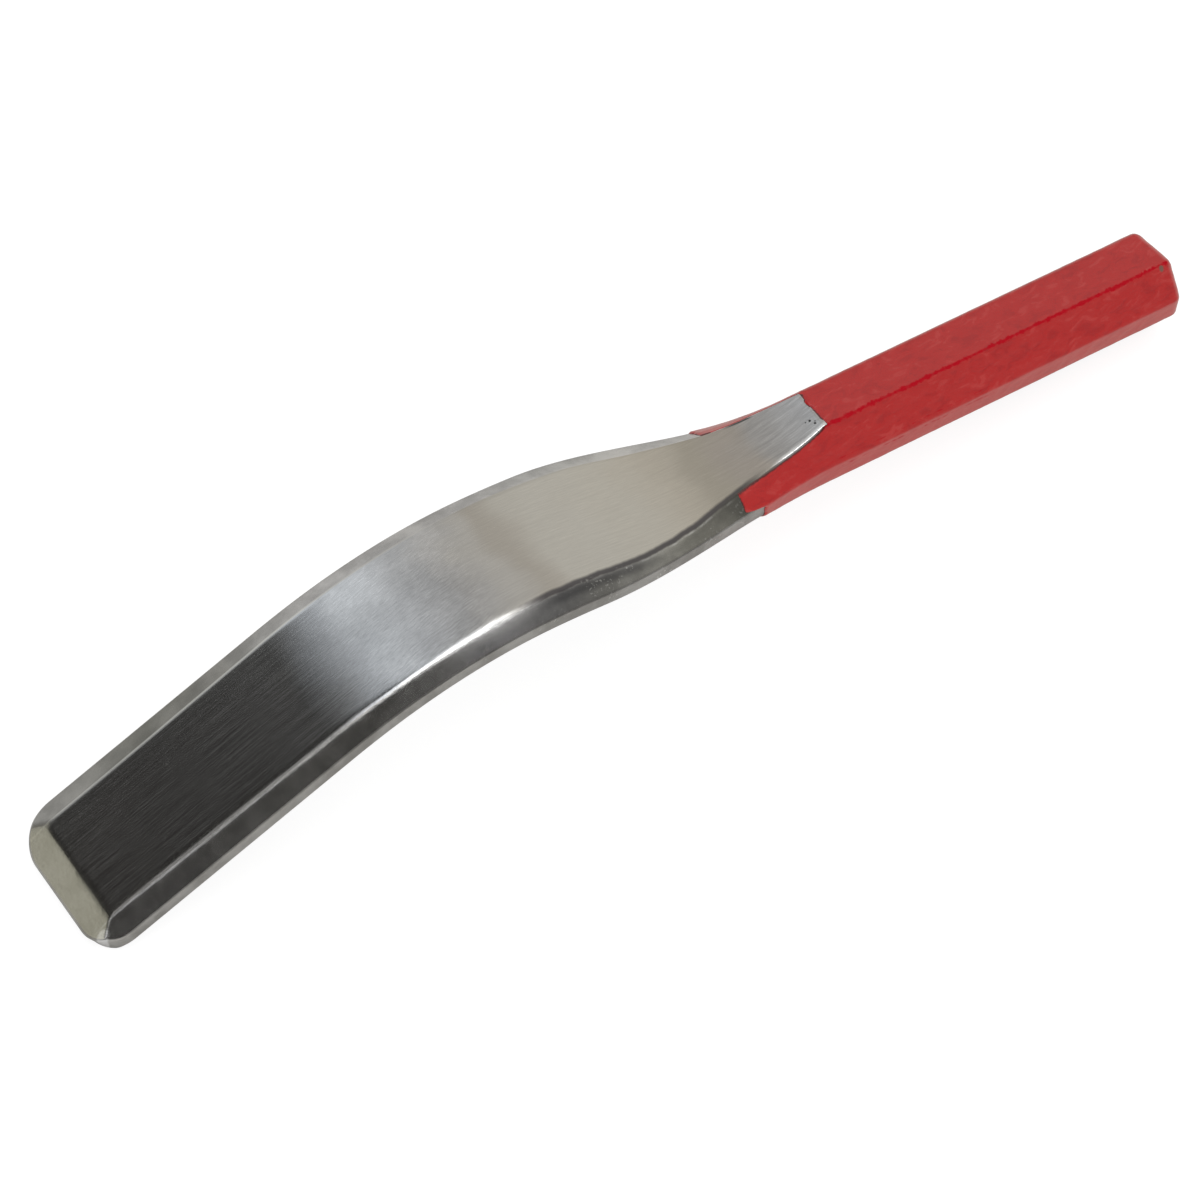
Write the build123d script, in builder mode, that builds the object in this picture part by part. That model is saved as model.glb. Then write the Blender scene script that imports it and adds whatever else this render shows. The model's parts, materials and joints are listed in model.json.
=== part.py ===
from build123d import *
from math import atan, cos, radians, sin, sqrt, tan
import os

# A one-piece forged tyre lever: a six-sided bar for the hand, flowing through a neck into a broad
# blade that arches over a crown and falls away to a straight, bevelled tip. The upper side
# of the blade is ground in one sweep, which runs out on top of the bar as a tongue. The bar and
# the start of the neck carry a thick coat of enamel, which also wraps the end of the bar.
#
# The lever is drawn along its bar. A "station" is a distance from the end of the bar towards the
# tip, and heights are measured from the bar's upper flat, so most of them are negative. The
# finished lever lies on a bench at Z = 0, which its tip and the end of its bar both touch, with
# the bar pointing along +X.

# ---- Driving dimensions (mm, degrees) ----
bar_height = 22.0  # between the bar's upper and lower flats
bar_flat = 11.1  # width of those two flats
bar_width = 21.8  # across the bar's two side corners, which the forging dies flatten
bar_land = 4.9  # height of each flattened corner
bar_corner_radius = 1.2
bar_end_chamfer = 1.1  # the coat fills it out to a rounded edge

blade_width = 39.8
blade_thickness = 8.4
blade_land = 3.4  # height of the upright strip along each side of the blade
blade_rake = 27.0  # how steeply the straight end of the blade falls away from the bar
tip_station = 302.1
tip_corner_radius = 9.5
tip_bevel_run = 7.6
tip_bevel_drop = 2.2
under_bevel_run = 13.0  # the tip's lower bevel drops as far as the upper one, over this run

neck_start = 100.5
neck_end = 171.0  # the blade has its full width from here on
neck_thin_end = 156.0  # and its full thinness from here on
land_settled = 130.0  # the upright strip has the blade's height from here on
crown_station = 186.3
crown_middle_height = -3.1
straight_station = 238.0  # the forging is straight from here to its tip

# The ground face: its half width, and the height of the sweep at the places that shape it
tongue_station = 101.0
tongue_slope = 0.32
dip_station = 138.0
dip_height = -4.05
ground_crown_station = 184.3
ground_crown_height = 1.4
ground_straight_station = 240.0
ground_straight_height = -12.95
ground_half_width = 15.5
ground_spread_station = 114.0  # the ground face widens with the blade from here on
ground_full_station = 162.0  # and has its full width from here on
ground_taper_station = 200.0  # and narrows slowly from here to the tip
ground_tip_half_width = 14.3
grind_allowance = 1.2  # stock that grinding takes off the blade

sole_half_width = 14.6
coat_thickness = 0.4
coat_sections = 4  # cross-sections that the coat covers in the neck
section_pitch = 8.5  # spacing of the cross-sections along the neck and blade

# ---- Derived sizes ----
rake_slope = tan(radians(blade_rake))
bar_facet_slope = (bar_height - bar_land) / (bar_width - bar_flat)
section_count = int((tip_station - neck_start) / section_pitch) + 2
coat_end_station = neck_start + (coat_sections - 1) * section_pitch
clear = 40.0  # how far cutting shapes reach past the forging


def ease(station, start, end):
    """Share of a change made by this station, starting and ending level."""
    reach = min(max((station - start) / (end - start), 0.0), 1.0)
    return reach * reach * (3 - 2 * reach)


def blend(first, second, share):
    return first + (second - first) * share


def glide(station, start, end):
    """Height on a smooth curve between two (station, height, slope) places."""
    length = end[0] - start[0]
    reach = (station - start[0]) / length
    level = blend(start[1], end[1], reach * reach * (3 - 2 * reach))
    lead_in = start[2] * length * reach * (1 - reach) ** 2
    lead_out = end[2] * length * reach**2 * (1 - reach)
    return level + lead_in - lead_out


# The ground sweep as places it passes through: station, height, slope towards the tip
sweep = [
    (tongue_station, 0.0, -tongue_slope),
    (dip_station, dip_height, 0.0),
    (ground_crown_station, ground_crown_height, 0.0),
    (ground_straight_station, ground_straight_height, -rake_slope),
]


def ground_height(station):
    if station <= tongue_station:
        return 0.0
    if station >= ground_straight_station:
        return ground_straight_height - rake_slope * (station - ground_straight_station)
    for start, end in zip(sweep, sweep[1:]):
        if station <= end[0]:
            return glide(station, start, end)


def middle(station):
    """Height and steepness of the forging's middle line."""
    if station <= crown_station:
        climb = ease(station, neck_start, crown_station)
        return blend(-bar_height / 2, crown_middle_height, climb), 0.0
    past = min(station, straight_station) - crown_station
    steepness = rake_slope * past / (straight_station - crown_station)
    height = crown_middle_height - steepness * past / 2
    return height - rake_slope * max(station - straight_station, 0.0), steepness


def section_corners(station):
    """The eight-sided cross-section's corners on its +Y side, from the top down."""
    height, steepness = middle(station)
    stretch = sqrt(1 + steepness**2)
    widening = ease(station, neck_start, neck_end)
    half_width = blend(bar_width, blade_width, widening) / 2
    land_share = ease(station, neck_start, land_settled)
    land = stretch * blend(bar_land, blade_land, land_share) / 2
    thinning = ease(station, neck_start, neck_thin_end)
    sole = stretch * blend(bar_height, blade_thickness, thinning) / 2
    crease_height = ground_height(station)
    tongue = bar_flat / 2 - crease_height / bar_facet_slope
    spread = ease(station, ground_spread_station, ground_full_station)
    taper = ease(station, ground_taper_station, tip_station)
    full = blend(ground_half_width, ground_tip_half_width, taper)
    crease = blend(tongue, full, spread)
    facet_slope = (crease_height - height - land) / (half_width - crease)
    stock = grind_allowance * ease(station, tongue_station, tongue_station + 2 * section_pitch)
    return [
        (crease - stock / facet_slope, crease_height + stock),
        (half_width, height + land),
        (half_width, height - land),
        (blend(bar_flat / 2, sole_half_width, widening), height - sole),
    ]


# ---- How the lever lies on the bench ----
# It rests on the lower edge of its tip and on the enamel under the end of its bar.
rake_sin = sin(radians(blade_rake))
rake_cos = cos(radians(blade_rake))
tip_height = section_corners(tip_station)[1][1]
toe_station = tip_station - blade_land * rake_sin
toe_height = tip_height - blade_land * rake_cos
heel_height = -bar_height - coat_thickness
bench_angle = atan((heel_height - toe_height) / (toe_station - bar_end_chamfer))
origin_height = -bar_end_chamfer * sin(bench_angle) - heel_height * cos(bench_angle)
tip_reach = tip_station * cos(bench_angle) - tip_height * sin(bench_angle)
origin_x = (tip_reach - coat_thickness) / 2

# Frame of the bar: X along the bar towards its end, Z out of its upper flat
bar_frame = Plane(
    origin=(origin_x, 0, origin_height),
    x_dir=(cos(bench_angle), 0, -sin(bench_angle)),
    z_dir=(sin(bench_angle), 0, cos(bench_angle)),
)
# Side view: the first coordinate is minus the station and the second is the height
side_view = Plane(origin=bar_frame.origin, x_dir=bar_frame.x_dir, z_dir=(0, -1, 0))
# Frame of the straight blade: X up the blade, Z out of it, at the upper edge of the tip's end
blade_frame = Plane(
    origin=side_view.from_local_coords((-tip_station, tip_height)),
    x_dir=bar_frame.x_dir * rake_cos + bar_frame.z_dir * rake_sin,
    z_dir=bar_frame.z_dir * rake_cos - bar_frame.x_dir * rake_sin,
)
blade_side_view = Plane(origin=blade_frame.origin, x_dir=blade_frame.x_dir, z_dir=(0, -1, 0))


def across(station):
    """Plane of the cross-section at a station: X across the lever, Y up, facing the bar's end."""
    place = side_view.from_local_coords((-station, 0))
    return Plane(origin=place, x_dir=(0, 1, 0), z_dir=bar_frame.x_dir)


def section(station, skin=0.0):
    """The rounded eight-sided cross-section, grown outwards by the thickness of a skin."""
    right = section_corners(station)
    left = [(-y, z) for y, z in reversed(right)]
    with BuildSketch(across(station)) as profile:
        with BuildLine():
            Polyline(*right, *left, close=True)
        make_face()
        fillet(profile.vertices(), bar_corner_radius)
        if skin:
            offset(amount=skin)
    return profile.sketch


def sections(count, skin=0.0):
    """Cross-sections from the start of the neck towards the tip."""
    return [section(neck_start + number * section_pitch, skin) for number in range(count)]


# ---- Shapes that cut ----
# Everything above the ground sweep
with BuildPart() as grinding:
    with BuildSketch(side_view):
        with BuildLine():
            for start, end in zip(sweep, sweep[1:]):
                third = (end[0] - start[0]) / 3
                Bezier(
                    (-start[0], start[1]),
                    (-start[0] - third, start[1] + start[2] * third),
                    (-end[0] + third, end[1] - end[2] * third),
                    (-end[0], end[1]),
                )
            far_station = tip_station + clear
            run_out = clear / 2
            Polyline(
                (-ground_straight_station, ground_straight_height),
                (-far_station, ground_height(far_station)),
                (-far_station, clear),
                (-tongue_station + run_out, clear),
                (-tongue_station + run_out, run_out * tongue_slope),
                (-tongue_station, 0),
            )
        make_face()
    extrude(amount=blade_width, both=True)

# Everything beyond the rounded plan of the tip, and the wedges that leave its two bevels
with BuildPart() as tip_trim:
    with BuildSketch(blade_frame):
        with Locations((-clear + tip_corner_radius, 0)):
            Rectangle(2 * clear, 2 * blade_width)
        with Locations((clear, 0)):
            RectangleRounded(2 * clear, blade_width, tip_corner_radius, mode=Mode.SUBTRACT)
    extrude(amount=clear, both=True)
    with BuildSketch(blade_side_view):
        for edge, side, run in ((0, 1, tip_bevel_run), (-blade_land, -1, under_bevel_run)):
            with BuildLine():
                Polyline(
                    (-run, edge - side * tip_bevel_drop),
                    (2 * run, edge + 2 * side * tip_bevel_drop),
                    (-run, edge + 2 * side * tip_bevel_drop),
                    close=True,
                )
            make_face()
    extrude(amount=blade_width, both=True)

# ---- The forging ----
with BuildPart() as forged_lever:
    extrude(section(neck_start), amount=neck_start)
    chamfer(faces().sort_by(Axis.X)[-1].edges(), bar_end_chamfer)
    loft(sections(section_count))
    add(grinding.part, mode=Mode.SUBTRACT)
    add(tip_trim.part, mode=Mode.SUBTRACT)

# ---- The enamel on the bar ----
with BuildPart() as handle_enamel:
    extrude(section(neck_start, coat_thickness), amount=neck_start + coat_thickness)
    fillet(faces().sort_by(Axis.X)[-1].edges(), bar_end_chamfer + coat_thickness)
    loft(sections(coat_sections, coat_thickness))
    add(grinding.part, mode=Mode.SUBTRACT)
    add(forged_lever.part, mode=Mode.SUBTRACT)

os.makedirs("parts", exist_ok=True)
forged_lever.part.label = "forged_lever"
handle_enamel.part.label = "handle_enamel"
export_step(forged_lever.part, "parts/forged_lever.step")
export_step(handle_enamel.part, "parts/handle_enamel.step")
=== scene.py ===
import bpy
import json
import math
import numpy as np
from mathutils import Matrix, Vector, noise


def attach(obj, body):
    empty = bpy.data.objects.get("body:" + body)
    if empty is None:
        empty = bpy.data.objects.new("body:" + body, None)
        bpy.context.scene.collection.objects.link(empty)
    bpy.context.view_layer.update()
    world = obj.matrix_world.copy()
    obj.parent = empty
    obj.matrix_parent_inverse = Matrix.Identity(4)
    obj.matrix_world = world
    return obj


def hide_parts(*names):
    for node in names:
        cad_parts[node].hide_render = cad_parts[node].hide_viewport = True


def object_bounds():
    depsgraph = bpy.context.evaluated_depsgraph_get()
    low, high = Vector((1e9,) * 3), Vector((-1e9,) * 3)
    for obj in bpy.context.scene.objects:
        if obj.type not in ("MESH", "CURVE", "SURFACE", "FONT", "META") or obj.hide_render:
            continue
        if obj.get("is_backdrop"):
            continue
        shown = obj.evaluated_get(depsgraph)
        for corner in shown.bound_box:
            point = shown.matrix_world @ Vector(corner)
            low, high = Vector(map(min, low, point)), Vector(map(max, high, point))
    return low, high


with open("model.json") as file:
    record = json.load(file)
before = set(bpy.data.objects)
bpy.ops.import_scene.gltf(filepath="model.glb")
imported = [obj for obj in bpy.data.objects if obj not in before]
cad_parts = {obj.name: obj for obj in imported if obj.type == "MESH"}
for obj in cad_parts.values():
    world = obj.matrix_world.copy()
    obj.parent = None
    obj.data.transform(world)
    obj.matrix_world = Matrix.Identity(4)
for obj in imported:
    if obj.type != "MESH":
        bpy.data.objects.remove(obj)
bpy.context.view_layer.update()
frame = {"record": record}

# A forged tyre lever: a red enamelled six-sided bar that flows into a ground, arched steel blade.
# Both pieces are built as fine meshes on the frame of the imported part. A "station" is a distance
# from the end of the bar towards the tip, a "height" is measured from the bar's upper flat, and
# both are in millimetres until place() turns them into the row frame's metres. The lever's near
# side is the one at -Y, which faces the camera.

MM = 0.001

# ---- Sizes of the forging (mm, degrees), the same as the CAD's ----
BAR_HEIGHT = 22.0
BAR_FLAT = 11.1
BAR_WIDTH = 21.8
BAR_LAND = 4.9
BAR_FACET_SLOPE = (BAR_HEIGHT - BAR_LAND) / (BAR_WIDTH - BAR_FLAT)
BLADE_WIDTH = 39.8
BLADE_THICKNESS = 8.4
BLADE_LAND = 3.4
RAKE = math.radians(27.0)
TIP_STATION = 302.1
TIP_BEVEL_SLOPE = 2.2 / 7.6
UNDER_BEVEL_SLOPE = 2.2 / 13.0
UNDER_BEVEL_SPAN = 30.0
NECK_START = 100.5
NECK_END = 171.0
NECK_THIN_END = 156.0
LAND_SETTLED = 130.0
CROWN_STATION = 186.3
CROWN_MIDDLE = -3.1
STRAIGHT_STATION = 238.0
GROUND_HALF = 15.5
GROUND_TIP_HALF = 14.3
GROUND_SPREAD = 114.0
GROUND_FULL = 162.0
GROUND_TAPER = 200.0
SOLE_HALF = 14.6
TONGUE_STATION = 101.0
GRIND_STOCK = 1.2  # what grinding takes off the forging, from GRIND_SETTLED on
GRIND_SETTLED = 118.0
COAT = 0.4
CORNER_RADIUS = 1.2
# The ground sweep: station, height, slope
SWEEP = (
    (101.0, 0.0, -0.32),
    (138.0, -4.05, 0.0),
    (184.3, 1.4, 0.0),
    (240.0, -12.95, -math.tan(RAKE)),
)

# ---- Details that only the mesh has ----
# How softly the ground face rounds over into its bevels: station, softness
NEAR_CREASE = (
    (0, 0.3), (98, 0.3), (102, 0.8), (113, 0.8), (121, 0.4), (150, 0.45), (182, 0.6),
    (190, 1.2), (197, 1.7), (206, 1.3), (216, 0.8), (235, 0.8), (285, 0.7), (303, 0.4),
)
FAR_CREASE = ((0, 0.3), (98, 0.3), (130, 0.25), (185, 0.35), (240, 0.3), (303, 0.3))
BAR_END_RADIUS = 2.6  # how roundly the bar's end meets its sides
NEAR_TIP_RADIUS = 8.6
FAR_TIP_RADIUS = 11.0
RIM_RADIUS = 0.45
RIM_STEPS = 4
OFF_THE_TOP = -20.0  # distance from a crease given to points that are far from it
BAR_END_SKEW = 0.12  # how far the bar's end leans out of square
BAR_END_REACH = 8.0
END_REACH = 13.2  # from the middle of the bar's end to beyond its corners
END_ROUND = 12.2  # and to where its end face rounds them off
CORNER_STEPS = 5
FACE_POINTS = (26, 34, 16, 26, 24, 26, 16, 34)  # mesh points on each face of the bar, round the coat
COAT_END = 125.4  # where the coat ends on the far side
COAT_ROWS = 300
COAT_REACH = 131.5  # the coat's mesh ends here, beyond its own end
COAT_INSIDE = 0.2  # how far the coat's inner skin lies inside the steel


# ---- The lever's shape ----
def ease(station, start, end):
    reach = np.clip((station - start) / (end - start), 0.0, 1.0)
    return reach * reach * (3 - 2 * reach)


def mix(first, second, share):
    return first + (second - first) * share


def glide(station, start, end):
    length = end[0] - start[0]
    reach = (station - start[0]) / length
    level = mix(start[1], end[1], reach * reach * (3 - 2 * reach))
    lead_in = start[2] * length * reach * (1 - reach) ** 2
    lead_out = end[2] * length * reach**2 * (1 - reach)
    return level + lead_in - lead_out


def ground_height(station):
    """The ground sweep along the top of the lever."""
    last = SWEEP[-1]
    height = last[1] + last[2] * (station - last[0])
    for start, end in reversed(list(zip(SWEEP, SWEEP[1:]))):
        height = np.where(station <= end[0], glide(station, start, end), height)
    return np.where(station <= SWEEP[0][0], 0.0, height)


def middle(station):
    """Height and steepness of the forging's middle line."""
    climb = ease(station, NECK_START, CROWN_STATION)
    level = mix(-BAR_HEIGHT / 2, CROWN_MIDDLE, climb)
    past = np.clip(station - CROWN_STATION, 0.0, STRAIGHT_STATION - CROWN_STATION)
    steepness = math.tan(RAKE) * past / (STRAIGHT_STATION - CROWN_STATION)
    fall = steepness * past / 2 + math.tan(RAKE) * np.maximum(station - STRAIGHT_STATION, 0.0)
    return level - fall, steepness


class Section:
    """Sizes of the cross-section at each station of an array."""

    def __init__(self, station):
        height, steepness = middle(station)
        stretch = np.sqrt(1 + steepness**2)
        widening = ease(station, NECK_START, NECK_END)
        thinning = ease(station, NECK_START, NECK_THIN_END)
        land_share = ease(station, NECK_START, LAND_SETTLED)
        self.half = mix(BAR_WIDTH, BLADE_WIDTH, widening) / 2
        self.land = mix(BAR_LAND, BLADE_LAND, land_share)
        self.land_top = height + stretch * self.land / 2
        self.land_foot = height - stretch * self.land / 2
        self.sole = height - stretch * mix(BAR_HEIGHT, BLADE_THICKNESS, thinning) / 2
        self.sole_half = mix(BAR_FLAT / 2, SOLE_HALF, widening)
        self.ground = ground_height(station)
        tongue = BAR_FLAT / 2 - self.ground / BAR_FACET_SLOPE
        spread = ease(station, GROUND_SPREAD, GROUND_FULL)
        taper = ease(station, GROUND_TAPER, TIP_STATION)
        self.crease = mix(tongue, mix(GROUND_HALF, GROUND_TIP_HALF, taper), spread)
        self.facet = (self.ground - self.land_top) / (self.half - self.crease)
        self.under_facet = (self.land_foot - self.sole) / (self.half - self.sole_half)
        self.lean = steepness / stretch


def soft_min(first, second, softness):
    overlap = np.clip(softness - np.abs(first - second), 0.0, None)
    return np.minimum(first, second) - overlap**2 / (4 * softness)


def soft_max(first, second, softness):
    return -soft_min(-first, -second, softness)


TIP_HEIGHT = float(Section(np.array([TIP_STATION])).land_top[0])
TOE_STATION = TIP_STATION - BLADE_LAND * math.sin(RAKE)
TOE_HEIGHT = TIP_HEIGHT - BLADE_LAND * math.cos(RAKE)
UPPER_TIP_SLOPE = math.tan(RAKE + math.atan(TIP_BEVEL_SLOPE))
LOWER_TIP_SLOPE = math.tan(RAKE - math.atan(UNDER_BEVEL_SLOPE))


def bump_between(station, start, peak, end):
    """Rises from 0 at the start to 1 at the peak and falls back to 0 at the end."""
    return ease(station, start, peak) * (1 - ease(station, peak, end))


def crease_softness(station, side):
    """How widely the ground face rounds over into its bevel; side is -1 near and +1 far."""
    near = np.interp(station, *zip(*NEAR_CREASE))
    far = np.interp(station, *zip(*FAR_CREASE))
    return np.where(side < 0, near, far)


def end_inset(station):
    """How far the rounding of the bar's end draws its sides in."""
    short = np.clip(BAR_END_RADIUS - station, 0.0, BAR_END_RADIUS)
    return BAR_END_RADIUS - np.sqrt(BAR_END_RADIUS**2 - short**2)


def facet_half(size, station):
    """Half width that the slanting faces run out to, drawn in at the bar's end to stay under the coat."""
    return size.half - 0.6 * end_inset(station)


def end_lean(station, across):
    """How far the bar's end, which isn't quite square, moves a point towards the tip."""
    return BAR_END_SKEW * across * (1 - ease(station, 0.0, BAR_END_REACH))


def top_height(station, across):
    """Height of the forging's upper skin."""
    size = Section(station)
    side = np.sign(across)
    facet = size.land_top + size.facet * (facet_half(size, station) - np.abs(across))
    tip_bevel = TIP_HEIGHT + UPPER_TIP_SLOPE * (TIP_STATION - station)
    tip_corner = np.where(side < 0, 0.1, 1.3)
    edges = soft_min(facet, tip_bevel, tip_corner)
    return soft_min(size.ground, edges, crease_softness(station, side)) - end_inset(station)


def under_height(station, across):
    """Height of the forging's lower skin."""
    size = Section(station)
    facet = size.land_foot - size.under_facet * (facet_half(size, station) - np.abs(across))
    tip_bevel = TOE_HEIGHT + LOWER_TIP_SLOPE * (TOE_STATION - station)
    sole = soft_max(size.sole, facet, 0.6) + end_inset(station)
    return np.where(station > TIP_STATION - UNDER_BEVEL_SPAN, soft_max(sole, tip_bevel, 0.3), sole)


# ---- Meshes ----
MOUNTS = {mount["name"]: mount for mount in frame["record"]["mounts"]}
BAR_AXIS = np.array(MOUNTS["grip_end"]["axis"])
BAR_UP = np.array([-BAR_AXIS[2], 0.0, BAR_AXIS[0]])
BAR_ORIGIN = (
    np.array(MOUNTS["grip_end"]["pos_m"])
    - COAT * MM * BAR_AXIS
    + BAR_HEIGHT / 2 * MM * BAR_UP
)


def place(station, across, height):
    """Points of the row frame, in metres."""
    station, across, height = np.broadcast_arrays(station, across, height)
    points = BAR_ORIGIN - MM * station[..., None] * BAR_AXIS + MM * height[..., None] * BAR_UP
    points[..., 1] += MM * across
    return points


def grid_quads(rows, columns, start=0, flip=False, closed=False):
    """Quads of a grid whose points are numbered row by row; closed joins its last column to its first."""
    quads = []
    for row in range(rows - 1):
        for column in range(columns if closed else columns - 1):
            beside = (column + 1) % columns
            first = start + row * columns
            quad = (first + column, first + beside, first + columns + beside, first + columns + column)
            quads.append(quad[::-1] if flip else quad)
    return quads


def make_object(name, points, faces):
    mesh = bpy.data.meshes.new(name)
    mesh.from_pydata(points.reshape(-1, 3).tolist(), [], faces)
    mesh.validate()
    mesh.polygons.foreach_set("use_smooth", [True] * len(mesh.polygons))
    mesh.update()
    made = bpy.data.objects.new(name, mesh)
    bpy.context.scene.collection.objects.link(made)
    return made


def add_mask(made, name, values):
    layer = made.data.attributes.new(name, "FLOAT", "POINT")
    layer.data.foreach_set("value", np.ascontiguousarray(values, dtype=np.float32).ravel())


def fractal(points, scale, octaves=3, seed=0.0):
    """Smooth noise between about -1 and 1; scale is the size of its largest lumps in the points' unit."""
    values = np.zeros(len(points))
    shift = Vector((seed * 7.3, seed * 3.1, seed * 5.7))
    for index, point in enumerate(points):
        spot = Vector(point) / scale + shift
        total, weight = 0.0, 1.0
        for _ in range(octaves):
            total += weight * noise.noise(spot)
            spot = spot * 2.03
            weight *= 0.5
        values[index] = total
    return values


# ---- The forging ----
def row_stations():
    """Stations of the mesh rows, from the bar's end to the tip."""
    covered = np.concatenate([np.arange(0.0, 3.0, 0.3), np.arange(3.0, 96.0, 3.0)])  # under the coat
    body = np.arange(96.0, TIP_STATION - 13.0, 0.5)
    turns = np.linspace(math.pi / 2, 0.0, 44)
    reach = FAR_TIP_RADIUS + 0.5
    corner = reach - (reach - RIM_RADIUS) * np.cos(turns)
    crease = tip_crease_reach()
    corner[np.argmin(np.abs(corner - crease))] = crease
    corner_stations = TIP_STATION - corner * math.cos(RAKE)
    return np.concatenate([covered, body, corner_stations])


def tip_crease_reach():
    """Distance along the blade from the tip's end to the edge of its upper bevel."""
    stations = np.linspace(TIP_STATION - 15.0, TIP_STATION, 3001)
    gap = TIP_HEIGHT + UPPER_TIP_SLOPE * (TIP_STATION - stations) - ground_height(stations)
    return float((TIP_STATION - stations[np.argmin(np.abs(gap))]) / math.cos(RAKE))


def side_columns(half, crease, soft):
    """Distances from the middle out to one side, for one row."""
    face = np.linspace(0.0, crease - soft, 26)
    turn = np.linspace(crease - soft, crease + soft, 9)[1:]
    bevel = np.linspace(crease + soft, half, 9)[1:]
    return np.concatenate([face, turn, bevel])


def corner_half(reach, half, radius):
    """Half width inside the rim where the tip's corner rounds off, at a distance from the tip's end."""
    inner = radius - RIM_RADIUS
    run = np.clip(radius - reach, 0.0, inner)
    return half - radius + np.sqrt(inner**2 - run**2)


def skin_grid(stations, size, soft):
    """Positions across the lever for every row and column of a skin, and each row's reach from the tip."""
    reach = (TIP_STATION - stations) / math.cos(RAKE)
    rows = []
    for row in range(len(stations)):
        half = size.half[row] - RIM_RADIUS - end_inset(stations[row])
        full = side_columns(half, min(size.crease[row], half - 3.0), soft[row])
        outer = half + RIM_RADIUS
        near = corner_half(reach[row], outer, NEAR_TIP_RADIUS)
        far = corner_half(reach[row], outer, FAR_TIP_RADIUS)
        rows.append(np.concatenate([-full[::-1] * near / half, full[1:] * far / half]))
    return np.array(rows), reach


def corner_lean(reach, radius):
    """How far towards the tip a border point faces where the tip's corner rounds off, from 0 to 1."""
    return min(max(radius - reach, 0.0) / (radius - RIM_RADIUS), 1.0)


def outline_normals(reach, columns):
    """Outward plan directions (along, across) for the closed border of a skin grid."""
    sides = []
    for radius, side in ((NEAR_TIP_RADIUS, -1), (FAR_TIP_RADIUS, 1)):
        runs = [corner_lean(distance, radius) for distance in reach]
        sides.append([(run, side * math.sqrt(1 - run * run)) for run in runs])
    tip = [(1.0, 0.0)] * (columns - 2)
    end = [(-1.0, 0.0)] * (columns - 2)
    return np.array(sides[0] + tip + sides[1][::-1] + end)


def border_indices(rows, columns):
    near = [row * columns for row in range(rows)]
    tip = [(rows - 1) * columns + column for column in range(1, columns - 1)]
    far = [row * columns + columns - 1 for row in reversed(range(rows))]
    end = [column for column in range(columns - 2, 0, -1)]
    return near + tip + far + end


def rim_loops(along, across, foot_shift, border, normals):
    """The rounded rim that joins the two skins: skin, stations, positions across and rise of each loop."""
    edge_along, edge_across = along.ravel()[border], across.ravel()[border]
    edge_shift = np.repeat(foot_shift, along.shape[1], axis=1).ravel()[border]
    plan_along = math.cos(RAKE) * normals[:, 0]
    steps = [("top", step) for step in range(1, RIM_STEPS + 1)]
    steps += [("under", step) for step in range(RIM_STEPS, 0, -1)]
    loops = []
    for skin, step in steps:
        turn = math.pi / 2 * step / RIM_STEPS
        out = RIM_RADIUS * math.sin(turn)
        drop = RIM_RADIUS * (1 - math.cos(turn))
        side = edge_across + out * normals[:, 1]
        if skin == "top":
            loops.append((skin, edge_along + out * plan_along, side, -drop))
        else:
            loops.append((skin, edge_along - edge_shift + out * plan_along, side, drop))
    return loops


def loop_faces(border, loops, count):
    """Faces of the rim, from the upper skin's border through every loop to the lower skin's border."""
    chain = [border]
    for number in range(len(loops)):
        begin = 2 * count + number * len(border)
        chain.append(list(range(begin, begin + len(border))))
    chain.append([count + index for index in border])
    faces = []
    for upper, lower in zip(chain, chain[1:]):
        for spot in range(len(border)):
            beside = (spot + 1) % len(border)
            faces.append((upper[spot], upper[beside], lower[beside], lower[spot]))
    return faces


def forging_masks(made, size, along, across, foot_along, loops):
    """What the steel's material needs to know: which face a point is on, and where it lies."""
    count = along.size
    ring_size = sum(len(spot) for _, spot, _, _ in loops)
    facet = size.land_top[:, None] + size.facet[:, None] * (size.half[:, None] - np.abs(across))
    tip = TIP_HEIGHT + UPPER_TIP_SLOPE * (TIP_STATION - along)
    ground = size.ground[:, None]
    is_ground = np.clip(np.minimum(facet, tip) - ground + 0.1, 0.0, 0.2) / 0.2
    is_tip = np.clip(np.minimum(facet, ground) - tip + 0.1, 0.0, 0.2) / 0.2
    zeros = np.zeros(count + ring_size)
    away = np.full(count + ring_size, OFF_THE_TOP)
    crease = size.crease[:, None]
    add_mask(made, "ground_face", np.concatenate([is_ground.ravel(), zeros]))
    add_mask(made, "tip_bevel", np.concatenate([is_tip.ravel(), zeros]))
    add_mask(made, "near_edge", np.concatenate([(crease + across).ravel(), away]))
    add_mask(made, "far_edge", np.concatenate([(crease - across).ravel(), away]))
    add_mask(made, "land", np.concatenate([np.zeros(2 * count), np.ones(ring_size)]))
    stations = [along.ravel(), foot_along.ravel()] + [spot for _, spot, _, _ in loops]
    sides = [across.ravel(), across.ravel()] + [side for _, _, side, _ in loops]
    add_mask(made, "station", np.concatenate(stations))
    add_mask(made, "across", np.concatenate(sides))


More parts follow.
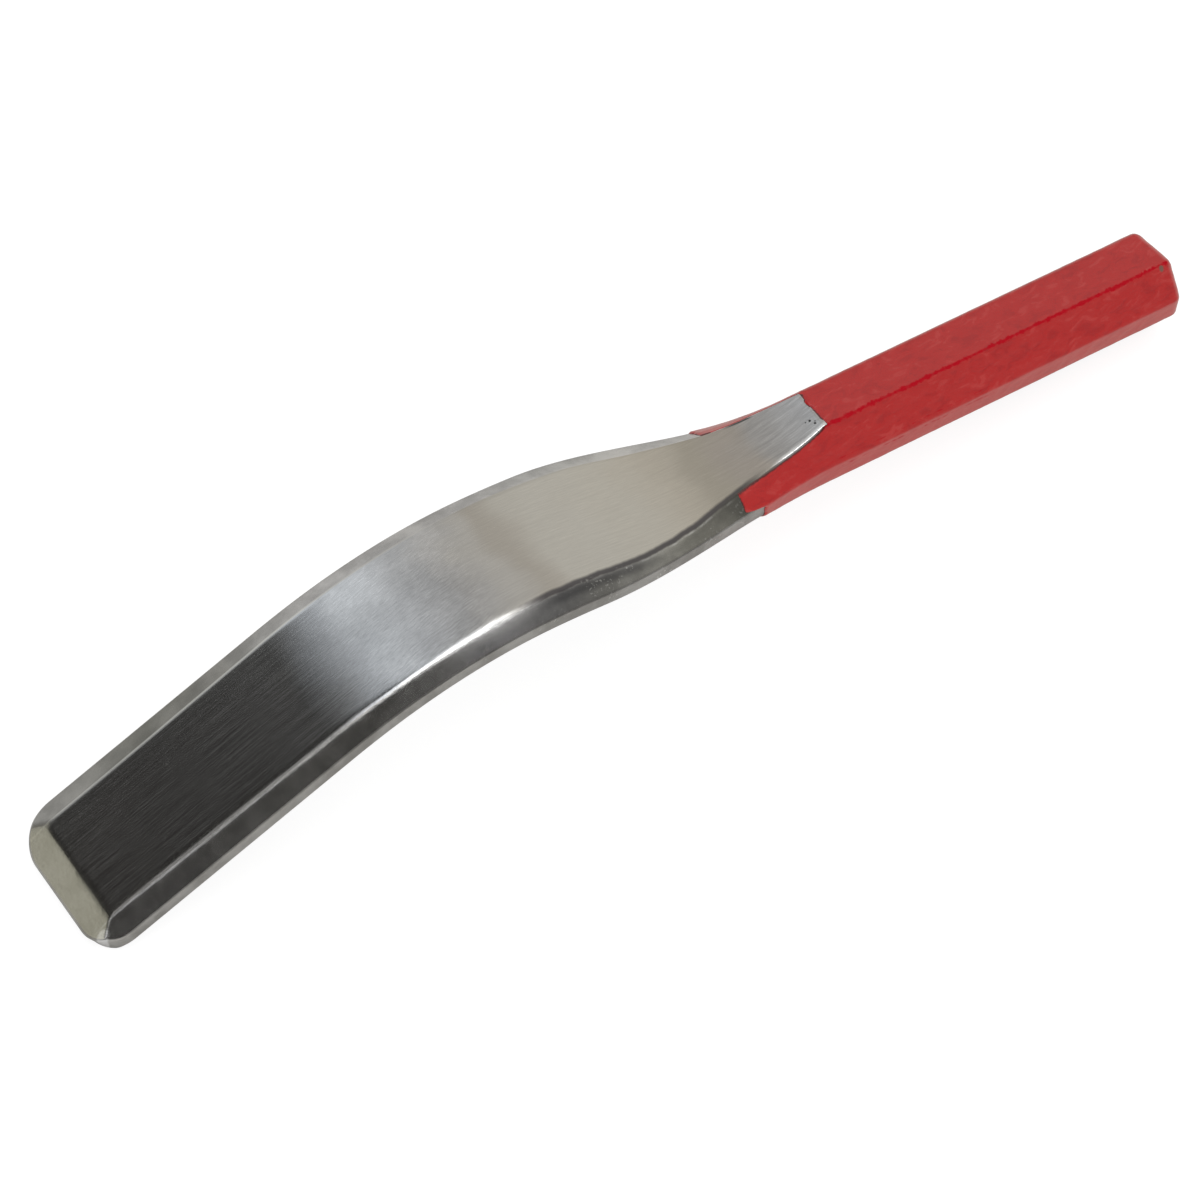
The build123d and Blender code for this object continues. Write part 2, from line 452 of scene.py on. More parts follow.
def forging_mesh():
    stations = row_stations()
    size = Section(stations)
    soft = np.minimum(0.9 + 1.6 * bump_between(stations, 132.0, 178.0, 262.0), size.crease * 0.3)
    across, reach = skin_grid(stations, size, soft)
    rows, columns = across.shape
    along = np.repeat(stations[:, None], columns, axis=1)
    border = border_indices(rows, columns)
    normals = outline_normals(reach, columns)

    # The lower skin lies along the blade's own normal from the upper one
    foot_shift = (size.land * size.lean)[:, None]
    foot_along = along - foot_shift
    lean = end_lean(along, across)
    top = place(along + lean, across, top_height(along, across))
    under = place(foot_along + lean, across, under_height(foot_along, across))

    loops = rim_loops(along, across, foot_shift, border, normals)
    ring_points = []
    for skin, spot, side, rise in loops:
        height = top_height(spot, side) if skin == "top" else under_height(spot, side)
        ring_points.append(place(spot + end_lean(spot, side), side, height + rise))

    count = rows * columns
    points = np.concatenate([top.reshape(-1, 3), under.reshape(-1, 3), *ring_points])
    faces = grid_quads(rows, columns)
    faces += grid_quads(rows, columns, count, flip=True)
    faces += loop_faces(border, loops, count)
    made = make_object("forged_lever_steel", points, faces)
    forging_masks(made, size, along, across, foot_along, loops)
    return made


# ---- The enamel ----
def section_outline(station):
    """Corners of the bar's cross-section before grinding, from its upper far one round the far side."""
    size = Section(station)
    stock = GRIND_STOCK * ease(station, TONGUE_STATION, GRIND_SETTLED)
    ridge = size.crease - stock / size.facet
    far = [
        (ridge, size.ground + stock),
        (size.half, size.land_top),
        (size.half, size.land_foot),
        (size.sole_half, size.sole),
    ]
    far = [(float(across), float(height)) for across, height in far]
    return far + [(-across, height) for across, height in reversed(far)]


def outline_points(station):
    """Points and outward directions round the bar, with its corners rounded.

    Each face of the bar has the same number of points at every station."""
    corners = np.array(section_outline(station))
    count = len(corners)
    legs = np.roll(corners, -1, axis=0) - corners
    legs = legs / np.linalg.norm(legs, axis=1)[:, None]
    turns = [math.acos(max(-1.0, min(1.0, float(legs[index - 1] @ legs[index])))) for index in range(count)]
    setbacks = [CORNER_RADIUS * math.tan(turn / 2) for turn in turns]
    spots, outs = [], []
    for index in range(count):
        into, leave, turn = legs[index - 1], legs[index], turns[index]
        out_before = np.array([-into[1], into[0]])
        out_after = np.array([-leave[1], leave[0]])
        centre = corners[index] - into * setbacks[index] - out_before * CORNER_RADIUS
        for step in range(CORNER_STEPS + 1):
            share = step / CORNER_STEPS
            direction = out_before * math.sin((1 - share) * turn) + out_after * math.sin(share * turn)
            direction = direction / np.linalg.norm(direction)
            spots.append(centre + direction * CORNER_RADIUS)
            outs.append(direction)
        after = (index + 1) % count
        start = corners[index] + leave * setbacks[index]
        end = corners[after] - leave * setbacks[after]
        for step in range(1, FACE_POINTS[after]):
            spots.append(start + (end - start) * step / FACE_POINTS[after])
            outs.append(out_after)
    return np.array(spots), np.array(outs)


def coat_rows(stations):
    """The bar's outline at each station, and the distances from its near ridge and its near brink."""
    spots, outs, ridges, brinks = [], [], [], []
    for station in stations:
        here, out = outline_points(float(station))
        corners = section_outline(float(station))
        ridges.append(np.linalg.norm(here - corners[7], axis=1))
        brinks.append(np.linalg.norm(here - corners[6], axis=1))
        spots.append(here)
        outs.append(out)
    return np.array(spots), np.array(outs), np.array(ridges), np.array(brinks)


def coat_cut(spots, along, edge_noise):
    """Height that grinding cuts the coat down to, lowest on the far side where the tongue starts."""
    tongue_end = TONGUE_STATION - 0.4 + 0.045 * spots[..., 0] + 0.7 * edge_noise
    run_out = np.clip(tongue_end - along, 0.0, None) * 1.6
    cut = ground_height(along) - 0.04 + np.where(along < tongue_end, run_out, 0.0)
    rolled = ease(along, 101.0, 103.0) * (1 - ease(along, 116.0, 124.0))
    bared = ease(along, 101.0, 105.0) * (1 - ease(along, 109.0, 118.0))
    return cut - np.where(spots[..., 0] < 0, 0.20 * rolled, 0.7 * rolled + 1.3 * bared)


def coat_depth(spots, along, base, limit, cut):
    """How far the coat stands out of the bar: it thins to nothing at its end in the neck, to a skin
    beside the grinding, and its surface is lumpy."""
    lumps = 0.05 * fractal(base, 7.0, 2, seed=1.0) + 0.035 * fractal(base, 2.2, 3, seed=2.0)
    lumps = lumps.reshape(along.shape)
    cover = np.clip((limit - along) / 0.7, -1.0, 1.0)
    thickness = np.where(cover > 0, np.sqrt(np.clip(cover, 0, 1)), cover) * COAT
    thickness = np.maximum(thickness, -0.16)
    thinned = mix(0.3, 1.0, ease(cut - spots[..., 1], 0.0, 1.6))
    return np.where(cover > 0, thickness * thinned, thickness) + lumps * thinned * np.clip(cover, 0.0, 1.0)


def inner_end_rings(in_across, in_height):
    """The inner skin's rings over the bar's end: round its edge, then in to the middle of the end."""
    rings = []
    for turn in np.linspace(math.radians(15.0), math.pi / 2, 6):
        share = 1 - BAR_END_RADIUS * (1 - math.cos(turn)) / (BAR_HEIGHT / 2)
        ring_across = in_across * share
        ring_height = mix(-BAR_HEIGHT / 2, in_height, share)
        back = 0.15 + BAR_END_RADIUS * (1 - math.sin(turn)) + end_lean(0.0, ring_across)
        rings.append(place(back, ring_across, ring_height))
    for share in np.linspace(1.0, 0.02, 16)[1:]:
        shrunk_across = share * ring_across
        shrunk_height = mix(-BAR_HEIGHT / 2, ring_height, share)
        rings.append(place(0.15 + end_lean(0.0, shrunk_across), shrunk_across, shrunk_height))
    return rings


def enamel_mesh():
    """The coat as a closed shell: a lumpy outer skin and a plain inner one just inside the steel."""
    stations = np.linspace(BAR_END_RADIUS - COAT, COAT_REACH, COAT_ROWS)
    spots, outs, ridges, brinks = coat_rows(stations)
    rows, columns = spots.shape[:2]
    along = np.repeat(stations[:, None], columns, axis=1)
    base = place(along, spots[..., 0], spots[..., 1]).reshape(-1, 3) / MM
    edge_noise = fractal(base, 3.0, 4, seed=3.0).reshape(rows, columns)
    limit = paint_limit(spots, along) + 0.5 * edge_noise
    cut = coat_cut(spots, along, edge_noise)
    outer = coat_depth(spots, along, base, limit, cut)

    out_across = spots[..., 0] + outs[..., 0] * outer
    full_height = spots[..., 1] + outs[..., 1] * outer
    out_height = np.minimum(full_height, cut)
    in_across = spots[..., 0] - outs[..., 0] * COAT_INSIDE
    in_height = np.minimum(spots[..., 1] - outs[..., 1] * COAT_INSIDE, cut - 0.16)
    lean = end_lean(along, spots[..., 0])
    outer_skin = place(along + lean, out_across, out_height)
    inner_skin = place(along + lean, in_across, in_height)

    # Distance inside the coat's margin, which places the painted shade line along its edge, with none along
    # the far edge of the tongue
    margin = np.minimum(limit - along, (cut - full_height) * 0.8)
    far_side = ease(spots[..., 0], 0.0, 5.0)
    margin += 20 * far_side * ease(along, 101.5, 104.0) * (1 - ease(along, 121.0, 123.0))

    end_rings = end_cap(spots[0], outs[0], outer[0])
    inner_end = inner_end_rings(in_across[0], in_height[0])
    rings = end_rings[::-1] + list(outer_skin) + list(inner_skin[::-1]) + inner_end
    points = np.concatenate([ring.reshape(-1, 3) for ring in rings])
    faces = grid_quads(len(rings), columns, closed=True)
    last = (len(rings) - 1) * columns
    faces.append(tuple(range(columns))[::-1])
    faces.append(tuple(range(last, last + columns)))
    made = make_object("handle_enamel_coat", points, faces)
    inside = len(inner_skin) + len(inner_end)
    details = {"ridge": ridges, "brink": brinks, "margin": margin, "station": along, "across": out_across}
    for name, ring_values in details.items():
        cap = np.repeat(ring_values[:1], len(end_rings), axis=0)
        if name in ("ridge", "brink"):
            cap = cap + np.linspace(8.0, 0.0, len(end_rings))[:, None]  # their lines stop at the bar's end
        hidden = np.full((inside, columns), 20.0)
        add_mask(made, name, np.concatenate([cap, ring_values, hidden]))
    return made


def paint_limit(spots, along):
    """The station where the coat ends; on the near side it reaches furthest above the land."""
    across, height = spots[..., 0], spots[..., 1]
    near_side = ease(-across, 0.0, 8.0)
    upper = ease(height - Section(along).land_top, -0.5, 0.7)
    return COAT_END + near_side * mix(-3.2, 2.4, upper)


def end_cap(spots, outs, outer):
    """Rings from the bar's rounded end edge to the middle of its slightly domed end face."""
    middle_height = -BAR_HEIGHT / 2
    full_across = spots[:, 0] + outs[:, 0] * outer
    full_height = spots[:, 1] + outs[:, 1] * outer
    reach = np.hypot(full_across, full_height - middle_height)
    made = []
    for step in range(1, 9):
        turn = math.pi / 2 * step / 8
        out = BAR_END_RADIUS * math.sin(turn)
        share = 1 - BAR_END_RADIUS * (1 - math.cos(turn)) / (BAR_HEIGHT / 2)
        rounded = np.minimum(1.0, mix(END_REACH, END_ROUND, math.sin(turn)) / reach)
        ring_across = full_across * share * rounded
        ring_height = mix(middle_height, full_height, share * rounded)
        made.append((-out + BAR_END_RADIUS - COAT, ring_across, ring_height))
    rim_station, rim_across, rim_height = made[-1]
    for share in np.linspace(1.0, 0.015, 26)[1:]:
        dome = -0.35 * (1 - share**2)
        made.append((rim_station + dome, rim_across * share, mix(middle_height, rim_height, share)))
    finished = []
    for station, ring_across, ring_height in made:
        leaning = station + end_lean(station, ring_across)
        spot = place(leaning, ring_across, ring_height) / MM
        wobble = 0.10 * fractal(spot, 5.0, 3, seed=1.4)
        finished.append(place(leaning - wobble, ring_across, ring_height))
    return finished


# ---- Materials ----
class Nodes:
    """A small helper that adds shader nodes and joins them."""

    def __init__(self, tree):
        self.tree = tree
        self.tree.nodes.clear()

    def add(self, kind, **settings):
        node = self.tree.nodes.new(kind)
        for name, value in settings.items():
            setattr(node, name, value)
        return node

    def link(self, source, target):
        self.tree.links.new(source, target)

    def put(self, socket, value):
        if isinstance(value, bpy.types.NodeSocket):
            self.link(value, socket)
        else:
            socket.default_value = value

    def math(self, operation, first, second=0.0, third=None, clamp=False):
        node = self.add("ShaderNodeMath", operation=operation, use_clamp=clamp)
        self.put(node.inputs[0], first)
        self.put(node.inputs[1], second)
        if third is not None:
            self.put(node.inputs[2], third)
        return node.outputs[0]

    def times(self, first, second):
        return self.math("MULTIPLY", first, second)

    def remap(self, value, low, high, out_low=0.0, out_high=1.0, smooth=True):
        node = self.add("ShaderNodeMapRange", clamp=True)
        node.interpolation_type = "SMOOTHSTEP" if smooth else "LINEAR"
        for index, number in enumerate((value, low, high, out_low, out_high)):
            self.put(node.inputs[index], number)
        return node.outputs[0]

    def mix_color(self, share, first, second, mode="MIX"):
        node = self.add("ShaderNodeMix", data_type="RGBA", blend_type=mode)
        self.put(node.inputs[0], share)
        self.put(node.inputs[6], first)
        self.put(node.inputs[7], second)
        return node.outputs[2]

    def noise(self, vector, scale, detail=3.0, roughness=0.5, distortion=0.0):
        node = self.add("ShaderNodeTexNoise")
        self.put(node.inputs["Vector"], vector)
        node.inputs["Scale"].default_value = scale
        node.inputs["Detail"].default_value = detail
        node.inputs["Roughness"].default_value = roughness
        node.inputs["Distortion"].default_value = distortion
        return node.outputs["Fac"]

    def ramp(self, value, stops):
        """Colours along a value from 0 to 1; each stop is a place, a level and a tint."""
        node = self.add("ShaderNodeValToRGB")
        node.color_ramp.interpolation = "EASE"
        elements = node.color_ramp.elements
        while len(elements) > 1:
            elements.remove(elements[-1])
        for number, (spot, level, tint) in enumerate(stops):
            element = elements[0] if number == 0 else elements.new(spot)
            element.position = spot
            element.color = (level * tint[0], level * tint[1], level * tint[2], 1)
        self.link(value, node.inputs[0])
        return node.outputs[0]

    def window(self, value, low, rise, fall, high):
        """1 between rise and fall, and 0 before low and after high."""
        up = self.remap(value, low, rise)
        return self.times(up, self.remap(value, fall, high, 1.0, 0.0))

    def band(self, edge, edges, stations):
        """1 in a strip beside a crease, over part of the lever's length."""
        return self.times(self.window(edge, *edges), self.window(self.mask("station"), *stations))

    def spot(self, station, across, radius):
        """1 inside a small round spot on the lever."""
        along = self.math("SUBTRACT", self.mask("station"), station)
        aside = self.math("SUBTRACT", self.mask("across"), across)
        reach = self.math("ADD", self.times(along, along), self.times(aside, aside))
        return self.remap(self.math("SQRT", reach), radius * 0.7, radius * 1.2, 1.0, 0.0)

    def shade(self, color, level):
        """A colour made lighter or darker by a level."""
        node = self.add("ShaderNodeVectorMath", operation="SCALE")
        self.put(node.inputs[0], color)
        self.put(node.inputs["Scale"], level)
        return node.outputs[0]

    def blend(self, share, first, second):
        """A number between two others."""
        return self.math("MULTIPLY_ADD", share, self.math("SUBTRACT", second, first), first)

    def mask(self, name):
        """A value that the mesh carries."""
        return self.add("ShaderNodeAttribute", attribute_name=name).outputs["Fac"]

    def here(self):
        """The point being shaded, in metres."""
        return self.add("ShaderNodeTexCoord").outputs["Object"]

    def bump(self, height, strength, distance, normal=None):
        node = self.add("ShaderNodeBump")
        node.inputs["Strength"].default_value = strength
        node.inputs["Distance"].default_value = distance
        self.put(node.inputs["Height"], height)
        if normal is not None:
            self.put(node.inputs["Normal"], normal)
        return node.outputs["Normal"]


def lengthwise(nodes, along_scale, across_scale, slant=0.0):
    """A texture vector that follows the lever, or runs aslant to it: station and position across."""
    join = nodes.add("ShaderNodeCombineXYZ")
    aside = nodes.math("MULTIPLY_ADD", nodes.mask("station"), slant, nodes.mask("across"))
    nodes.put(join.inputs[0], nodes.times(nodes.mask("station"), along_scale))
    nodes.put(join.inputs[1], nodes.times(aside, across_scale))
    return join.outputs[0]


# The steel's tone along the lever, as station, level and tint. The ground face is neutral on the
# tongue and the blade, and grinding has tinted it straw brown in the neck and over the crown. The
# levels are partly painted reflection: stretches made lighter or darker where the faces reflect
# brighter or darker parts of the studio.
GROUND_TONE = (
    (0, 0.54, (1, 1, 1)),
    (105, 0.54, (1, 1, 1)),
    (112, 0.45, (1, 0.98, 0.96)),
    (120, 0.47, (1, 0.92, 0.83)),
    (128, 0.47, (1, 0.93, 0.80)),
    (138, 0.57, (1, 0.935, 0.81)),
    (152, 0.585, (1, 0.96, 0.86)),
    (174, 0.585, (1, 0.97, 0.885)),
    (185, 0.515, (1, 0.945, 0.85)),
    (192, 0.58, (1, 0.975, 0.92)),
    (198, 0.56, (1, 0.99, 0.975)),
    (203, 0.56, (0.99, 1, 1.01)),
    (216, 0.64, (0.985, 1, 1.02)),
    (230, 0.64, (0.98, 1, 1.03)),
    (244, 0.53, (1, 0.98, 0.95)),
    (262, 0.51, (1, 0.98, 0.94)),
    (302, 0.60, (1, 0.97, 0.93)),
)
# The flanks, still as forged and wire brushed; their levels too are partly painted reflection
NEAR_TONE = (
    (0, 0.44, (1, 0.99, 0.90)),
    (132, 0.42, (1, 0.985, 0.88)),
    (168, 0.46, (1, 0.99, 0.93)),
    (186, 0.50, (1, 1, 0.99)),
    (200, 0.68, (1, 1, 1.02)),
    (214, 0.64, (1, 0.99, 0.97)),
    (236, 0.54, (1, 0.985, 0.94)),
    (302, 0.45, (1, 0.985, 0.96)),
)
FAR_TONE = (
    (0, 0.60, (1, 0.98, 0.95)),
    (136, 0.72, (1, 0.98, 0.95)),
    (152, 0.62, (1, 0.99, 0.96)),
    (168, 0.58, (1, 0.99, 0.96)),
    (184, 0.62, (1, 0.98, 0.96)),
    (204, 0.62, (1, 0.98, 0.95)),
    (220, 0.64, (1, 0.97, 0.93)),
    (236, 0.46, (1, 0.96, 0.90)),
    (250, 0.30, (1, 0.95, 0.86)),
    (266, 0.22, (1, 0.96, 0.84)),
    (302, 0.38, (1, 0.95, 0.88)),
)
# Black spots painted as the shade in small pits where the tongue runs out: station, position across, radius
TONGUE_PITS = ((102.9, -2.1, 0.30), (103.9, -1.9, 0.17), (102.3, -3.4, 0.28), (102.0, -2.9, 0.16))
TIP_GLINT = (299.6, -16.6, 1.5)  # a painted highlight on the tip's near corner
COAT_CHIP = (3.4, -6.2, 0.55)  # a small bare spot beside the ridge, near the bar's end


def tone_stops(table):
    return [(station / TIP_STATION, level, tint) for station, level, tint in table]


def steel_color(nodes, streaks, fine, clouds):
    """The steel's tone on its ground face, flanks, tip bevel and lands, with painted reflection in its
    levels along the lever and a painted highlight on the far side of the crown.
    """
    station, across = nodes.mask("station"), nodes.mask("across")
    patchy = nodes.noise(nodes.here(), 55.0, 2.0, 0.5)
    share = nodes.math("MULTIPLY_ADD", patchy, 22.0, station)
    share = nodes.math("DIVIDE", nodes.math("SUBTRACT", share, 11.0), TIP_STATION)
    near_color = nodes.ramp(share, tone_stops(NEAR_TONE))
    far_color = nodes.ramp(share, tone_stops(FAR_TONE))
    flank = nodes.mix_color(nodes.remap(across, -1.0, 1.0), near_color, far_color)
    flank = nodes.shade(flank, nodes.remap(clouds, 0.3, 0.7, 0.80, 1.18))

    brushed = nodes.remap(streaks, 0.3, 0.7, 0.965, 1.035)
    brushed = nodes.times(brushed, nodes.remap(fine, 0.3, 0.7, 0.955, 1.045))
    crown = nodes.window(station, 190.0, 200.0, 222.0, 240.0)
    mottle = nodes.remap(clouds, 0.3, 0.7, nodes.math("MULTIPLY_ADD", crown, -0.14, 1.0), 1.02)
    brushed = nodes.times(brushed, mottle)

    # Coarser scratches where the grinder was lifted off: aslant over the crown, and on the tongue
    aslant = nodes.noise(lengthwise(nodes, 0.42, 2.8, 0.15), 1.0, 3.0, 0.65)
    aslant = nodes.times(nodes.math("SUBTRACT", aslant, 0.5), nodes.times(crown, 0.75))
    tongue = nodes.window(station, 98.0, 100.0, 113.0, 126.0)
    coarse = nodes.noise(lengthwise(nodes, 0.10, 1.5, 0.08), 1.0, 4.0, 0.7)
    coarse = nodes.times(nodes.math("SUBTRACT", coarse, 0.5), nodes.times(tongue, 0.9))
    # A painted highlight: the far side of the ground face made up to a fifth lighter over the crown
    far_highlight = nodes.times(nodes.remap(across, 1.0, 12.0), 0.20)
    far_highlight = nodes.times(far_highlight, nodes.window(station, 192.0, 200.0, 222.0, 230.0))
    lift = nodes.math("ADD", nodes.math("ADD", aslant, coarse), nodes.math("ADD", far_highlight, 1.0))
    ground_color = nodes.ramp(share, tone_stops(GROUND_TONE))
    ground_color = nodes.shade(ground_color, nodes.times(brushed, lift))
    color = nodes.mix_color(nodes.remap(nodes.mask("ground_face"), 0.3, 0.7), flank, ground_color)

    tip = nodes.remap(clouds, 0.3, 0.7)
    tip_color = nodes.mix_color(tip, (0.54, 0.53, 0.48, 1), (0.66, 0.65, 0.60, 1))
    color = nodes.mix_color(nodes.mask("tip_bevel"), color, tip_color)
    land = nodes.remap(clouds, 0.35, 0.65)
    land_color = nodes.mix_color(land, (0.42, 0.41, 0.39, 1), (0.60, 0.59, 0.57, 1))
    return nodes.mix_color(nodes.mask("land"), color, land_color)


def crease_marks(nodes, color, wander):
    """Painted shade and painted highlights along the creases, where the ground face meets the flanks."""
    station, far = nodes.mask("station"), nodes.mask("far_edge")
    near = nodes.math("ADD", nodes.mask("near_edge"), nodes.math("MULTIPLY_ADD", wander, 0.9, -0.45))

    def mark(color, share, strength, tint):
        return nodes.mix_color(nodes.times(share, strength), color, (*tint, 1))

    # Painted shade and light along the near crease: a dark band of painted shade in the neck and beside the
    # coat, a broken painted highlight line, and a painted shadow outside it
    crease_shade = nodes.band(near, (-0.35, 0.15, 0.75, 1.7), (117.0, 127.0, 184.0, 197.0))
    color = mark(color, crease_shade, 0.90, (0.085, 0.080, 0.088))
    # Painted shade beside the crease where the coat ends
    corner = nodes.band(near, (-5.0, -3.0, 0.2, 0.8), (120.0, 124.0, 127.0, 136.0))
    color = mark(color, corner, 0.55, (0.13, 0.13, 0.11))
    broken = nodes.noise(lengthwise(nodes, 0.22, 0.0), 1.0, 2.0, 0.5)
    broken = nodes.remap(broken, 0.46, 0.58, 0.05, 0.40)
    clear = nodes.math("MAXIMUM", broken, nodes.remap(station, 200.0, 222.0, 0.0, 0.55))
    # A painted highlight line along the near crease, broken up along its length and clearer towards the tip
    line = nodes.band(near, (-0.75, -0.45, -0.35, -0.05), (126.0, 134.0, 296.0, 302.0))
    color = mark(color, line, clear, (0.86, 0.86, 0.85))
    shadow = nodes.band(near, (-2.8, -1.2, -0.4, 0.1), (150.0, 163.0, 180.0, 190.0))
    color = mark(color, shadow, 0.6, (0.12, 0.12, 0.13))

    # Painted highlights just outside the crease at the crown, and along the tongue's near edge
    crown_highlight = nodes.band(near, (-3.4, -0.9, 0.0, 0.5), (184.0, 193.0, 203.0, 214.0))
    color = mark(color, crown_highlight, 0.75, (0.98, 0.98, 0.98))
    rim = nodes.band(near, (-0.2, 0.1, 0.6, 1.4), (99.0, 101.5, 112.0, 118.0))
    color = nodes.mix_color(rim, color, (1.0, 1.0, 1.0, 1))

    # The far crease: a painted highlight line along the blade, and a narrow dark slit of painted shade
    # beside the coat
    far_crease_highlight = nodes.window(far, -0.5, -0.2, 0.0, 0.3)
    far_crease_highlight = nodes.times(far_crease_highlight, nodes.remap(station, 180.0, 215.0))
    color = mark(color, far_crease_highlight, 0.5, (0.80, 0.78, 0.72))
    slit = nodes.band(far, (-1.2, -0.8, 0.1, 0.5), (112.0, 114.0, 117.0, 121.0))
    return mark(color, slit, 0.9, (0.03, 0.03, 0.03))


def new_material(name):
    material = bpy.data.materials.new(name)
    material.use_nodes = True
    nodes = Nodes(material.node_tree)
    output = nodes.add("ShaderNodeOutputMaterial")
    return material, nodes, output.inputs[0]


def steel_material():
    material, nodes, surface = new_material("ground_steel")
    shader = nodes.add("ShaderNodeBsdfPrincipled")
    nodes.link(shader.outputs[0], surface)
    ground, land = nodes.mask("ground_face"), nodes.mask("land")
    here = nodes.here()
    streaks = nodes.noise(lengthwise(nodes, 0.06, 3.2), 1.0, 4.0, 0.6)
    fine = nodes.noise(lengthwise(nodes, 0.30, 14.0), 1.0, 2.0, 0.6)
    clouds = nodes.noise(here, 120.0, 5.0, 0.6)
    wander = nodes.noise(lengthwise(nodes, 0.16, 0.0), 1.0, 3.0, 0.6)

    color = steel_color(nodes, streaks, fine, clouds)
    color = crease_marks(nodes, color, wander)
    nicks = nodes.remap(nodes.noise(here, 1300.0, 2.0, 0.6), 0.57, 0.66, 0.0, 0.6)
    nicks = nodes.times(nicks, nodes.remap(nodes.noise(here, 150.0, 1.0, 0.5), 0.52, 0.60))
    nicks = nodes.times(nicks, nodes.math("SUBTRACT", 1.0, ground, clamp=True))
    nicks = nodes.times(nicks, nodes.window(nodes.mask("station"), 124.0, 132.0, 200.0, 216.0))
    color = nodes.mix_color(nicks, color, (0.85, 0.85, 0.82, 1))
    # Painted shade in the tongue's pits, and a painted highlight on the tip's near corner
    for station, across, radius in TONGUE_PITS:
        color = nodes.mix_color(nodes.spot(station, across, radius), color, (0.02, 0.02, 0.02, 1))
    color = nodes.mix_color(nodes.spot(*TIP_GLINT), color, (1.0, 1.0, 1.0, 1))
    nodes.link(color, shader.inputs["Base Color"])
    shader.inputs["Metallic"].default_value = 1.0

    roughness = nodes.remap(streaks, 0.3, 0.7, 0.13, 0.19)
    flank_roughness = nodes.math("MULTIPLY_ADD", clouds, 0.12, 0.16)
    roughness = nodes.blend(ground, flank_roughness, roughness)
    roughness = nodes.math("ADD", roughness, nodes.times(land, 0.12))
    nodes.link(roughness, shader.inputs["Roughness"])

    relief = nodes.math("ADD", nodes.times(streaks, 0.6), nodes.times(fine, 0.4))
    normal = nodes.bump(relief, 0.25, 0.00006)
    pits = nodes.noise(here, 900.0, 3.0, 0.6)
    rough_places = nodes.math("SUBTRACT", 1.0, nodes.times(ground, 0.94))
    normal = nodes.bump(nodes.times(pits, rough_places), 0.4, 0.00007, normal)
    nodes.link(normal, shader.inputs["Normal"])
    return material


def enamel_color(nodes, clouds, wrinkles):
    """The coat's red: painted shade in the low parts of its wrinkles and painted highlights on their high
    parts, a painted sheen at glancing angles, deeper along its ridges, painted shade as a dark brown line
    where it breaks off, and a brown chip.
    """
    color = nodes.mix_color(clouds, (0.35, 0.005, 0.005, 1), (0.405, 0.011, 0.010, 1))
    # Painted shade in the low parts of the wrinkles and painted highlights on their high parts
    fold_shade = nodes.remap(wrinkles, 0.34, 0.48, 0.46, 0.0)
    color = nodes.mix_color(fold_shade, color, (0.27, 0.003, 0.005, 1))
    crest_highlight = nodes.remap(wrinkles, 0.54, 0.66, 0.0, 0.40)
    color = nodes.mix_color(crest_highlight, color, (0.45, 0.045, 0.040, 1))
    # A painted sheen: the coat paled towards pink where it is seen at a glancing angle
    glancing = nodes.add("ShaderNodeLayerWeight")
    glancing.inputs["Blend"].default_value = 0.5
    pale = nodes.remap(glancing.outputs["Facing"], 0.32, 0.95, smooth=False)
    color = nodes.mix_color(pale, color, (0.50, 0.19, 0.17, 1))
    ridge = ridge_mask(nodes)
    color = nodes.mix_color(ridge, color, (0.36, 0.002, 0.009, 1))
    # Painted shade: a dark brown line along the coat's margin where it ends
    ragged = nodes.noise(nodes.here(), 900.0, 2.0, 0.6)
    margin = nodes.math("ADD", nodes.mask("margin"), nodes.math("MULTIPLY_ADD", ragged, 0.5, -0.25))
    color = nodes.mix_color(nodes.remap(margin, -0.02, 0.20, 0.85, 0.0), color, (0.035, 0.012, 0.012, 1))
    return nodes.mix_color(nodes.spot(*COAT_CHIP), color, (0.16, 0.07, 0.05, 1))


def ridge_mask(nodes):
    """An uneven line of thick coat along the near ridge, and a fainter one above the lower land."""
    uneven = nodes.noise(nodes.here(), 560.0, 5.0, 0.7)
    width = nodes.remap(uneven, 0.40, 0.80, 0.03, 0.60)
    near_side = nodes.remap(nodes.mask("across"), -2.5, -1.5, 1.0, 0.0)
    ridge = nodes.remap(nodes.math("SUBTRACT", nodes.mask("ridge"), width), 0.10, 0.38, 1.0, 0.0)
    ridge = nodes.times(ridge, near_side)
    brink = nodes.math("ABSOLUTE", nodes.math("SUBTRACT", nodes.mask("brink"), 1.1))
    brink = nodes.remap(nodes.math("SUBTRACT", brink, width), -0.25, 0.05, 0.7, 0.0)
    brink = nodes.times(brink, nodes.window(nodes.mask("station"), 52.0, 62.0, 96.0, 106.0))
    brink = nodes.times(brink, near_side)
    return nodes.math("MAXIMUM", ridge, brink)


